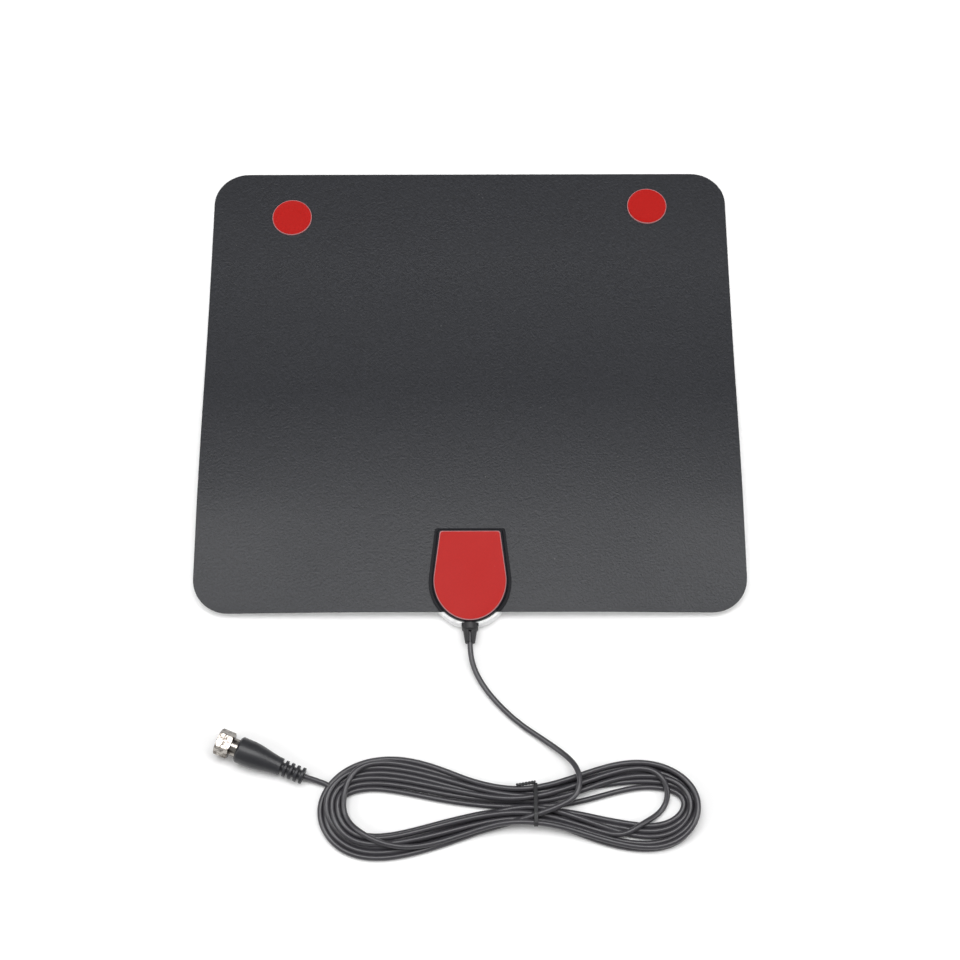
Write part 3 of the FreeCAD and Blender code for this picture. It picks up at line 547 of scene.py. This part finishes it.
def plastic(groups, name, colour, rough, grain=1500.0, depth=0.02 * MM, smear=0.08, dust=0.15, coat=0.0,
            edge=0.15 * MM, specular=0.5, contrast=0.18):
    """Moulded plastic or film: grain, slight uneven tone, handled gloss, dust, softened edges."""
    material, tree, shader, where = new_material(name)
    fine = group_node(tree, groups["grain"], Vector=where, Grain_Scale=grain)
    marks = group_node(tree, groups["handling"], Vector=where, Dust_Amount=dust)
    darker = tuple(c * (1 - contrast) for c in colour)
    lighter = tuple(min(1.0, c * (1 + contrast)) for c in colour)
    tone = mix_colour(tree, fine.outputs["Shade"], darker, lighter)
    dusty = mix_colour(tree, marks.outputs["Dust"], tone, DUST)
    tree.links.new(dusty, shader.inputs["Base Color"])
    tree.links.new(ramp(tree, marks.outputs["Smear"], 0.0, 1.0, rough - smear, rough + smear),
                   shader.inputs["Roughness"])
    shader.inputs["Specular IOR Level"].default_value = specular
    shader.inputs["Coat Weight"].default_value = coat
    shader.inputs["Coat Roughness"].default_value = 0.25
    normal = rounded(tree, edge) if edge else None
    tree.links.new(bump(tree, fine.outputs["Height"], depth, normal), shader.inputs["Normal"])
    return material


def metal(groups, name, colour, rough, grain=2500.0, depth=0.004 * MM, edge=0.12 * MM,
          tarnish_and_painted_dark=(0.30, 0.26, 0.22), tarnish_and_painted_dark_amount=0.22, patches=160.0):
    """Bright or plated metal: uneven gloss, tarnish in patches, and painted shade that darkens faces
    turned away from the viewer; where the dark colour is a painted reflection, as on the plug's nickel,
    the patches are painted reflection too.
    """
    material, tree, shader, where = new_material(name)
    fine = group_node(tree, groups["grain"], Vector=where, Grain_Scale=grain)
    marks = group_node(tree, groups["handling"], Vector=where, Smear_Scale=patches, Dust_Amount=0.0)
    # patches of the dark colour: real tarnish on most metals, painted dark reflections on the plug's
    # nickel
    shade = mix_colour(tree, ramp(tree, marks.outputs["Smear"], 0.2, 0.8, 0.0, tarnish_and_painted_dark_amount), colour, tarnish_and_painted_dark)
    # painted shade: the colour darkens towards the dark colour on faces turned away from the viewer
    facing = add(tree, "ShaderNodeLayerWeight", {"Blend": 0.5}).outputs["Facing"]
    painted_grazing_shade = mix_colour(tree, ramp(tree, facing, 0.25, 0.9, 0.0, tarnish_and_painted_dark_amount), shade, tarnish_and_painted_dark)
    tree.links.new(painted_grazing_shade, shader.inputs["Base Color"])
    tree.links.new(ramp(tree, marks.outputs["Smear"], 0.0, 1.0, rough * 0.7, rough * 1.4),
                   shader.inputs["Roughness"])
    shader.inputs["Metallic"].default_value = 1.0
    normal = bump(tree, fine.outputs["Height"], depth, rounded(tree, edge))
    tree.links.new(normal, shader.inputs["Normal"])
    return material


# ---------------------------------------------------------------- the cord

LEAD_ROUTE = [
    (0.0, -14.55, 4.2), (0.0, -19.9, 3.8), (2.6, -29.0, 1.8), (9.6, -40.0, 1.35), (22.0, -52.6, 1.35),
    (36.0, -62.0, 1.6), (45.4, -69.8, 4.6), (49.6, -76.0, 7.6), (50.7, -83.0, 8.8), (48.2, -89.6, 8.9),
    (39.5, -94.2, 8.7), (29.2, -97.6, 7.9), (19.0, -101.0, 6.2), (9.0, -104.2, 4.4),
]
TAIL_ROUTE = [
    (-62.0, -98.0, 1.4), (-60.2, -91.0, 1.35), (-61.6, -85.0, 1.35), (-66.4, -81.6, 1.4),
    (-71.8, -79.9, 2.4), (-77.1, -78.4, 3.9),
]
# the bundle of turns, clockwise from the near side of the tied waist: outer x, y and inner x, y
BUNDLE = np.array([
    (29.2, -101.9, 29.2, -90.6), (14, -102.4, 14, -92.6), (-4, -107.8, -3, -96.4),
    (-22, -113.7, -19, -100.3), (-42, -117.7, -36, -104.6), (-58, -113.5, -48, -105.6),
    (-67.5, -104.5, -56, -99.6),
    (-70.6, -93.5, -59.3, -92.0), (-66.5, -81.5, -56.5, -86.6), (-55, -72.0, -48, -84.7),
    (-39, -68.3, -36, -86.3), (-20, -71.4, -20, -89.6), (0, -79.3, -3, -92.2), (15, -82.5, 14, -93.8),
    (29.2, -82.4, 29.2, -93.4), (45, -79.0, 44, -93.0), (60, -73.6, 60, -88.7), (76, -70.6, 76, -84.9),
    (92, -73.2, 88, -84.8), (103, -81.8, 96, -87.5), (106.2, -93, 97.4, -92.6), (102, -104.5, 93, -98),
    (91, -112.2, 84, -100.8), (78, -113.2, 72, -99.6), (62, -109.8, 59, -97.0), (45, -104.6, 44, -92.8),
])
STATIONS = len(BUNDLE)
# each turn's place between the bundle's outer edge (0) and inner edge (1), and how far it wanders
LANES = (0.05, 0.10, 0.42, 0.72, 0.95, 0.55, 0.25, 0.80)
WANDER = (0.05, 0.05, 0.16, 0.22, 0.15, 0.3, 0.2, 0.1)
WANDER_SHARE, SHARE_WINDOW, WINDING_SEED = 0.8, 13, 4
# the hank starts and ends at these stations of its first and last turn; points are a step apart
FIRST_STATION, LAST_STATION, STATION_STEP = 1.5, 7.0, 0.5
# how far apart layers start, in diameters; then how many layers the first turn dips, the station
# where it dips most, and the half width of the dip
LAYER_PITCH, DIP_LAYERS, DIP_STATION, DIP_HALF = 0.95, 6, 7, 6
# a crossing's share of its bundle is let out this far past either edge
CROSSING_LIMIT = 9.0
# points of a crossing's fine line, and the width of the window that eases it
LINE_POINTS, LINE_WINDOW = 400, 61
# settling: spots are this share of a point apart, then the spacing kept and the nearest run that
# can touch, both in diameters, then how strongly each effect acts
SPOT_STEP, SPACING, NEAREST_RUN = 0.25, 1.03, 2.5
PUSH, EVENING, SINK_FIRST, SINK_ALWAYS, STAY, EDGE_PULL = 1.3, 0.35, 0.10, 0.02, 0.07, 0.5
# control points free to move at the lead's end, and held at the tail's
LEAD_FREE, TAIL_HELD = 2, 4
# two turns that leave their lanes: (turn, (station, x, y), ...)
CROSSINGS = (
    (1, (3.6, -38.0, -109.4), (4.6, -47.6, -106.9), (5.9, -57.4, -100.3), (7.0, -59.9, -91.0),
     (8.0, -57.9, -81.3), (9.0, -51.6, -73.9), (10.0, -40.0, -69.8)),
    (2, (16.2, 74.0, -71.9), (17.0, 80.9, -73.3), (17.9, 87.6, -78.1), (18.9, 91.6, -85.1),
     (20.0, 89.9, -92.6), (21.2, 83.7, -98.8), (22.0, 77.2, -101.4), (23.0, 69.4, -102.1)),
)


def round_bundle(station, column):
    """One coordinate of the bundle's edge at a station, by a closed cubic through the listed ones:
    each stretch leaves a station in the direction from the one before it to the one after it."""
    index = np.floor(station).astype(int)
    t = station - index
    a, b, c, d = (BUNDLE[(index + k) % STATIONS, column] for k in (-1, 0, 1, 2))
    square, cube = 2 * a - 5 * b + 4 * c - d, 3 * b - a - 3 * c + d
    return 0.5 * (2 * b + (c - a) * t + square * t ** 2 + cube * t ** 3)


def swell(station, centre, half):
    """A smooth hump round the ring of stations: 1 at its centre, 0 past its half width."""
    away = np.abs((station - centre + STATIONS / 2) % STATIONS - STATIONS / 2) / half
    return 0.5 + 0.5 * np.cos(np.pi * np.clip(away, 0, 1))


def lay_turns(turns, diameter):
    """The hank as it is wound, before it settles: a line that goes round the bundle, at a share of
    the way from its outer to its inner edge that differs from turn to turn, each turn below the last."""
    station = np.arange(FIRST_STATION, turns * STATIONS + LAST_STATION, STATION_STEP)
    turn = np.floor(station / STATIONS).astype(int)
    draw = np.random.default_rng(WINDING_SEED)
    base, wander = np.resize(LANES, turns + 1), np.resize(WANDER, turns + 1)
    phase = draw.uniform(0, 2 * np.pi, turns + 1)
    angle = 2 * np.pi * station / STATIONS
    share = base[turn] + WANDER_SHARE * wander[turn] * np.sin(angle + phase[turn])
    window, spare = np.hanning(SHARE_WINDOW), SHARE_WINDOW - 1
    share = np.convolve(np.pad(share, spare, mode="edge"), window / window.sum(), "same")[spare:-spare]
    layer = turns - turn - np.where(turn == 0, DIP_LAYERS * swell(station, DIP_STATION, DIP_HALF), 0)
    outer_x, outer_y, inner_x, inner_y = (round_bundle(station, k) for k in range(4))
    width = np.hypot(inner_x - outer_x, inner_y - outer_y)
    low, high = diameter / 2 / width, 1 - diameter / 2 / width
    along = low + share * (high - low)
    outer = np.stack([outer_x, outer_y], 1)
    across = np.stack([inner_x - outer_x, inner_y - outer_y], 1)
    height = diameter / 2 + LAYER_PITCH * layer * diameter
    points = np.column_stack([outer + across * along[:, None], height])
    for number, *route in CROSSINGS:
        stops = np.array(route)
        inside = np.where(turn == number, station - number * STATIONS, -1.0)
        crossing = (inside >= stops[0, 0]) & (inside <= stops[-1, 0])
        line = through(stops[:, 0], stops[:, 1:], inside[crossing])
        from_end = np.minimum(inside[crossing] - stops[0, 0], stops[-1, 0] - inside[crossing])
        blend = ease(from_end + 0.5)[:, None]
        points[crossing, :2] += (line - points[crossing, :2]) * blend
        low[crossing], high[crossing] = -CROSSING_LIMIT, CROSSING_LIMIT
    return points, outer, across, low, high


def through(stops, places, where):
    """A smooth line along places at given stops: straight between them, then eased by a window."""
    fine = np.linspace(stops[0], stops[-1], LINE_POINTS)
    window, spare = np.hanning(LINE_WINDOW), LINE_WINDOW - 1
    window /= window.sum()
    line = []
    for column in places.T:
        straight = np.interp(fine, stops, column)
        before, after = straight[spare:0:-1], straight[-2:-spare - 2:-1]
        longer = np.concatenate([2 * straight[0] - before, straight, 2 * straight[-1] - after])
        eased = np.convolve(longer, window, "same")[spare:-spare]
        line.append(np.interp(where, fine, eased))
    return np.stack(line, 1)


def settle(points, held, lanes, diameter, rounds):
    """Let the turns settle: each round, stretches nearer than about a diameter push each other
    apart, the line straightens a little where it bends unevenly, sinks, stops at the table, and
    is drawn back between the two edges of its bundle."""
    part_of, outer, across, low, high = lanes
    start = points.copy()
    count = len(points)
    spot = np.arange(0, count - 1, SPOT_STEP)
    first = np.floor(spot).astype(int)
    part = (spot - first)[:, None]
    step = np.linalg.norm(np.diff(start, axis=0), axis=1).mean() * SPOT_STEP
    order = np.arange(len(spot))
    apart = (order[None, :] - order[:, None]) > math.ceil(NEAREST_RUN * diameter / step)
    reach = SPACING * diameter
    for number in range(rounds):
        line = points[first] * (1 - part) + points[first + 1] * part
        square = (line ** 2).sum(1)
        near = (square[:, None] + square[None, :] - 2 * line @ line.T < reach ** 2) & apart
        a, b = np.nonzero(near)
        between = line[a] - line[b]
        distance = np.maximum(np.linalg.norm(between, axis=1), 1e-3)[:, None]
        push = between / distance * (reach - distance) / 2
        moved, met = np.zeros_like(line), np.zeros(len(line))
        for index, sign in ((a, 1), (b, -1)):
            np.add.at(moved, index, sign * push)
            np.add.at(met, index, 1)
        moved /= np.sqrt(np.maximum(met, 1))[:, None]
        shift, weight = np.zeros_like(points), np.zeros(count)
        for offset, share in ((0, 1 - part), (1, part)):
            np.add.at(shift, first + offset, moved * share)
            np.add.at(weight, first + offset, share[:, 0])
        bend, uneven = np.zeros_like(points), np.zeros_like(points)
        bend[1:-1] = (points[:-2] + points[2:]) / 2 - points[1:-1]
        uneven[1:-1] = (bend[:-2] + bend[2:]) / 2 - bend[1:-1]
        phase = number / rounds
        next_points = points + PUSH * shift / weight[:, None] - EVENING * uneven
        next_points[:, 2] -= SINK_FIRST * math.sqrt(1 - phase) + SINK_ALWAYS
        next_points[:, :2] += STAY * (1 - 0.5 * phase) * (start[:, :2] - next_points[:, :2])
        next_points[:, 2] = np.maximum(next_points[:, 2], diameter / 2)
        wound = next_points[part_of, :2]
        place = ((wound - outer) * across).sum(1) / (across ** 2).sum(1)
        next_points[part_of, :2] += EDGE_PULL * (np.clip(place, low, high) - place)[:, None] * across
        next_points[held] = start[held]
        points = next_points
    return points


def cord_line(settings):
    """The whole cord's control points in metres: lead, settled turns, tail."""
    diameter = settings.diameter / MM
    turns, *lanes = lay_turns(settings.turns, diameter)
    points = np.vstack([LEAD_ROUTE, turns, TAIL_ROUTE])
    held = np.zeros(len(points), bool)
    held[:len(LEAD_ROUTE) - LEAD_FREE] = True
    held[-TAIL_HELD:] = True
    part_of = slice(len(LEAD_ROUTE), len(LEAD_ROUTE) + len(turns))
    points = settle(points, held, (part_of, *lanes), diameter, settings.settling)
    return points * MM + np.array([0.0, NEAR_EDGE, 0.0])


def nurbs_curve(name, points, radius):
    """A round cord on one open NURBS spline of order 3 that reaches both end points."""
    curve = bpy.data.curves.new(name, "CURVE")
    curve.dimensions = "3D"
    spline = curve.splines.new("NURBS")
    spline.points.add(len(points) - 1)
    spline.points.foreach_set("co", np.column_stack([points, np.ones(len(points))]).ravel())
    spline.order_u = 3
    spline.use_endpoint_u = True
    spline.resolution_u = 5
    curve.bevel_depth = radius
    curve.bevel_resolution = 5
    curve.use_fill_caps = True
    return curve


def line_length(curve):
    """The length of a curve's own line, bevel left out, and the points along it."""
    bare = curve.copy()
    bare.bevel_depth = 0
    holder = bpy.data.objects.new("measure", bare)
    mesh = bpy.data.meshes.new_from_object(holder)
    spots = np.zeros(len(mesh.vertices) * 3)
    mesh.vertices.foreach_get("co", spots)
    spots = spots.reshape(-1, 3)
    bpy.data.objects.remove(holder)
    return float(np.linalg.norm(np.diff(spots, axis=0), axis=1).sum()), spots


# ---------------------------------------------------------------- materials

def build_materials(scene):
    """Every material of the antenna, by the record's slot names."""
    groups = {"grain": surface_grain_group(), "handling": handling_group()}
    sheet, liner = scene.antenna_sheet, scene.antenna_liner
    cord, plug = scene.antenna_cord, scene.antenna_plug
    return {
        "black_film": plastic(groups, "black film", sheet.black, 0.42, grain=1150.0, depth=0.12 * MM,
                              edge=0.0, specular=0.42, smear=0.015, contrast=0.5),
        "white_film": plastic(groups, "white film", sheet.white, 0.30, grain=900.0, depth=0.005 * MM),
        "clear_bond": plastic(groups, "clear bond", (0.55, 0.54, 0.50), 0.35),
        "printed_foil": metal(groups, "printed foil", (0.66, 0.66, 0.68), 0.35),
        "foam_tape": plastic(groups, "foam tape", liner.tape, 0.8, grain=2500.0, depth=0.06 * MM,
                             edge=0.1 * MM),
        "red_liner": plastic(groups, "red liner", liner.red, 0.45, grain=1600.0, depth=0.008 * MM,
                             dust=0.05, edge=0.0, specular=0.2, smear=0.03, contrast=0.06),
        "white_shell": plastic(groups, "white shell", sheet.white, 0.28, grain=700.0, depth=0.006 * MM,
                               coat=0.3, edge=0.3 * MM),
        "black_shell": plastic(groups, "black shell", (0.007, 0.007, 0.010), 0.42, grain=1100.0,
                               depth=0.02 * MM, edge=0.3 * MM, specular=0.12, dust=0.05),
        "screw_steel": metal(groups, "screw steel", (0.55, 0.55, 0.56), 0.3),
        "circuit_board": plastic(groups, "circuit board", (0.02, 0.13, 0.05), 0.35, coat=0.4),
        "rivet_brass": metal(groups, "rivet brass", (0.78, 0.60, 0.28), 0.28),
        "ferrite": plastic(groups, "ferrite", (0.045, 0.043, 0.042), 0.55, grain=3500.0),
        "copper_wire": metal(groups, "copper wire", (0.80, 0.36, 0.20), 0.25),
        "chip_ceramic": plastic(groups, "chip ceramic", (0.42, 0.29, 0.17), 0.5),
        "solder": metal(groups, "solder", (0.62, 0.62, 0.64), 0.25),
        "relief_rubber": plastic(groups, "relief rubber", (0.022, 0.022, 0.024), 0.50, grain=1800.0,
                                 edge=0.25 * MM),
        "cable_jacket": plastic(groups, "cable jacket", cord.jacket, 0.33, grain=2200.0, depth=0.008 * MM,
                                edge=0.0, smear=0.05, specular=0.6),
        "cable_insulation": plastic(groups, "cable insulation", (0.75, 0.75, 0.72), 0.45),
        "braid": metal(groups, "braid", (0.60, 0.58, 0.55), 0.4, grain=4000.0, depth=0.05 * MM),
        "tie_black": plastic(groups, "tie", (0.024, 0.024, 0.026), 0.45, grain=2600.0, edge=0.0),
        "boot_plastic": plastic(groups, "boot plastic", plug.boot, 0.42, grain=1500.0, edge=0.2 * MM),
        # the plug's nickel: its dark brown patches and darkened faces turned away are painted reflections
        # of dark surroundings
        "connector_nickel": metal(groups, "connector nickel", plug.nickel, 0.20, tarnish_and_painted_dark=PLUG_PAINTED_DARK_REFLECTION,
                                  tarnish_and_painted_dark_amount=0.9, patches=380.0),
        "nut_nickel": metal(groups, "nut nickel", plug.nickel, 0.20, tarnish_and_painted_dark=PLUG_PAINTED_DARK_REFLECTION, tarnish_and_painted_dark_amount=0.95,
                            patches=520.0, grain=420.0, depth=0.10 * MM),
    }


# ---------------------------------------------------------------- operators

class ANTENNA_OT_stage(bpy.types.Operator):
    """Make the pale floor, the soft lights and the camera"""
    bl_idname = "antenna.stage"
    bl_label = "Stage"

    def execute(self, context):
        scene = context.scene
        settings = scene.antenna_stage
        corners = ((-1, -1), (1, -1), (1, 1), (-1, 1))
        level = cad_low.z - TABLE_GAP * MM
        points = np.array([(FLOOR_HALF * x, FLOOR_HALF * y, level) for x, y in corners])
        mesh = quads_mesh("floor", points, np.array([[0, 1, 2, 3]]))
        floor = bpy.data.objects.new("floor", mesh)
        scene.collection.objects.link(floor)
        material, tree, shader, where = new_material("pale floor")
        shader.inputs["Roughness"].default_value = 0.9
        shader.inputs["Base Color"].default_value = rgba(settings.floor)
        shader.inputs["Emission Color"].default_value = rgba(settings.floor)
        away = add(tree, "ShaderNodeVectorMath", {0: where}, operation="LENGTH").outputs["Value"]
        glow = ramp(tree, away, FLOOR_GLOW_FROM, FLOOR_GLOW_TO, 0.0, FLOOR_GLOW)
        tree.links.new(glow, shader.inputs["Emission Strength"])
        mesh.materials.append(material)

        world = bpy.data.worlds.new("studio")
        scene.world = world
        world.use_nodes = True
        sky = world.node_tree
        background = sky.nodes["Background"]
        background.inputs["Color"].default_value = rgba((1.0, 1.0, 1.0))
        seen = add(sky, "ShaderNodeLightPath").outputs["Is Camera Ray"]
        sky.links.new(ramp(sky, seen, 0.0, 1.0, SKY_LIGHT, SKY_SEEN), background.inputs["Strength"])
        for softbox in SOFTBOXES:
            self.softbox(scene, *softbox)

        camera = bpy.data.objects.new("camera", bpy.data.cameras.new("camera"))
        camera.data.lens = settings.lens / MM
        camera.data.sensor_width = CAMERA_SENSOR
        camera.location = (CAMERA_X, NEAR_EDGE - CAMERA_BACK, CAMERA_HEIGHT)
        camera.rotation_euler = (math.radians(CAMERA_TILT), 0.0, math.radians(CAMERA_TURN))
        scene.collection.objects.link(camera)
        scene.camera = camera
        scene.view_settings.view_transform = "Standard"
        return {"FINISHED"}

    @staticmethod
    def softbox(scene, name, place, width, depth, power):
        """A soft rectangular light that faces the origin."""
        light = bpy.data.lights.new(name, "AREA")
        light.shape = "RECTANGLE"
        light.size, light.size_y = width, depth
        light.energy = power
        holder = bpy.data.objects.new(name, light)
        holder.location = place
        holder.rotation_euler = (Vector() - Vector(place)).to_track_quat("-Z", "Y").to_euler()
        scene.collection.objects.link(holder)


class ANTENNA_OT_finishes(bpy.types.Operator):
    """Make every finish, and give the CAD nodes theirs"""
    bl_idname = "antenna.finishes"
    bl_label = "Finishes"

    def execute(self, context):
        made = build_materials(context.scene)
        for name, node in frame["nodes"].items():
            node.data.materials.clear()
            node.data.materials.append(made[node_slot(name)])
        for name, material in made.items():
            material["slot"] = name
        return {"FINISHED"}


def finish_of(slot_name):
    """The material made for one of the record's slots."""
    return next(m for m in bpy.data.materials if m.get("slot") == slot_name)


def node_slot(node_name):
    """The record's slot for a CAD node."""
    parts = frame["record"]["subparts"]
    return next(part["material_slot"] for part in parts if part["node"] == node_name)


class ANTENNA_OT_sheet(bpy.types.Operator):
    """Make the sheet's three layers, which rise from the table to the box"""
    bl_idname = "antenna.sheet"
    bl_label = "Sheet"

    def execute(self, context):
        settings = context.scene.antenna_sheet
        for name, node, slot_name, height, thickness in LAYERS:
            points = sheet_layer(settings.corner / MM, settings.droop / MM, height)
            piece(name, grid_mesh(name, points), BODY, slot_name, [node], thickness * MM)
        return {"FINISHED"}


class ANTENNA_OT_liners(bpy.types.Operator):
    """Make the three peel-off liners, whose cut edges lift a little"""
    bl_idname = "antenna.liners"
    bl_label = "Liners"

    def execute(self, context):
        lift = context.scene.antenna_liner.lift / MM
        for side, x, y, phase in DISCS:
            points = liner_sheet(circle_outline(x, y, DISC_RADIUS), DISC_HEIGHT, lift, phase)
            self.liner(side + " liner", points, side + "_liner", "liner_disc_" + side)
        points = liner_sheet(shield_outline(*SHIELD), SHIELD_HEIGHT, lift, SHIELD_PHASE)
        self.liner("box liner", points, "box_liner_film", "box_liner")
        return {"FINISHED"}

    @staticmethod
    def liner(name, points, body, node):
        """One liner, which rides its own body."""
        piece(name, grid_mesh(name, points), body, "red_liner", [node], LINER * MM)


class ANTENNA_OT_plug(bpy.types.Operator):
    """Make the plug's moulded boot"""
    bl_idname = "antenna.plug"
    bl_label = "Plug boot"

    def execute(self, context):
        profile = boot_profile(context.scene.antenna_cord.diameter / MM / 2 - BOOT_GRIP)
        mesh = closed_mesh("boot", turned(profile, PLUG_FACE, PLUG_NOSE), close_u=True)
        piece("boot", mesh, BODY, "boot_plastic", ["plug_boot"])
        return {"FINISHED"}


class ANTENNA_OT_cord(bpy.types.Operator):
    """Lay the cable from the box through its hank to the plug, and tie the hank"""
    bl_idname = "antenna.cord"
    bl_label = "Cable and tie"

    def execute(self, context):
        settings, tie = context.scene.antenna_cord, context.scene.antenna_tie
        points = cord_line(settings)
        curve = nurbs_curve("cable", points, settings.diameter / 2)
        length, spots = line_length(curve)
        cable = piece("cable", curve, BODY, "cable_jacket", ["cord_lead", "cord_hank", "cord_tail"])
        tied = self.tie_pieces(spots, tie, settings.diameter / 2)
        return {"FINISHED"}

    @staticmethod
    def tie_pieces(spots, tie, radius):
        """The band, and its two ends twisted round each other beside the hank."""
        ring, loop = band_round(spots, TIE_X * MM, tie.width, tie.thick, radius)
        mesh = closed_mesh("tie band", ring, close_u=True)
        band = piece("tie band", mesh, BODY, "tie_black", ["twist_tie"])
        far_side = loop[np.argmax(loop[:, 0] + 0.6 * loop[:, 1])]
        t = np.linspace(0, 1, 70)
        made = [band]
        for name, phase in (("tie end one", 0.0), ("tie end two", np.pi)):
            turn = phase + 2 * np.pi * TWIST_TURNS * t
            apart = TWIST_APART * MM * (1 - TWIST_CLOSES * t)
            out, up = TWIST_OUT * MM - TWIST_IN * MM * t, TWIST_UP * MM + TWIST_CLIMB * MM * t
            path = np.stack([TIE_X * MM - tie.tail * t,
                             far_side[0] + out + apart * np.cos(turn),
                             far_side[1] + up + apart * np.sin(turn)], 1)
            mesh = closed_mesh(name, tube(path, TWIST_STRAND * MM))
            made.append(piece(name, mesh, BODY, "tie_black"))
        return made


class ANTENNA_PT_panel(bpy.types.Panel):
    """The antenna's pieces, sizes and colours"""
    bl_idname = "ANTENNA_PT_panel"
    bl_label = "Leaf Antenna"
    bl_space_type = "VIEW_3D"
    bl_region_type = "UI"
    bl_category = "Antenna"

    def draw(self, context):
        scene = context.scene
        for operator in OPERATORS:
            self.layout.operator(operator.bl_idname)
        for attribute, group in SETTINGS.items():
            box = self.layout.box()
            for prop in group.__annotations__:
                box.prop(getattr(scene, attribute), prop)


SETTINGS = {
    "antenna_sheet": AntennaSheetSettings,
    "antenna_liner": AntennaLinerSettings,
    "antenna_cord": AntennaCordSettings,
    "antenna_tie": AntennaTieSettings,
    "antenna_plug": AntennaPlugSettings,
    "antenna_stage": AntennaStageSettings,
}
OPERATORS = (ANTENNA_OT_stage, ANTENNA_OT_finishes, ANTENNA_OT_sheet, ANTENNA_OT_liners, ANTENNA_OT_plug,
             ANTENNA_OT_cord)


def register():
    for group in SETTINGS.values():
        bpy.utils.register_class(group)
    for attribute, group in SETTINGS.items():
        setattr(bpy.types.Scene, attribute, PointerProperty(type=group))
    for operator in OPERATORS:
        bpy.utils.register_class(operator)
    bpy.utils.register_class(ANTENNA_PT_panel)


def unregister():
    bpy.utils.unregister_class(ANTENNA_PT_panel)
    for operator in reversed(OPERATORS):
        bpy.utils.unregister_class(operator)
    for attribute in SETTINGS:
        delattr(bpy.types.Scene, attribute)
    for group in reversed(SETTINGS.values()):
        bpy.utils.unregister_class(group)


def main():
    register()
    bpy.ops.antenna.stage()
    bpy.ops.antenna.finishes()
    bpy.ops.antenna.sheet()
    bpy.ops.antenna.liners()
    bpy.ops.antenna.plug()
    bpy.ops.antenna.cord()


if __name__ == "__main__":
    main()
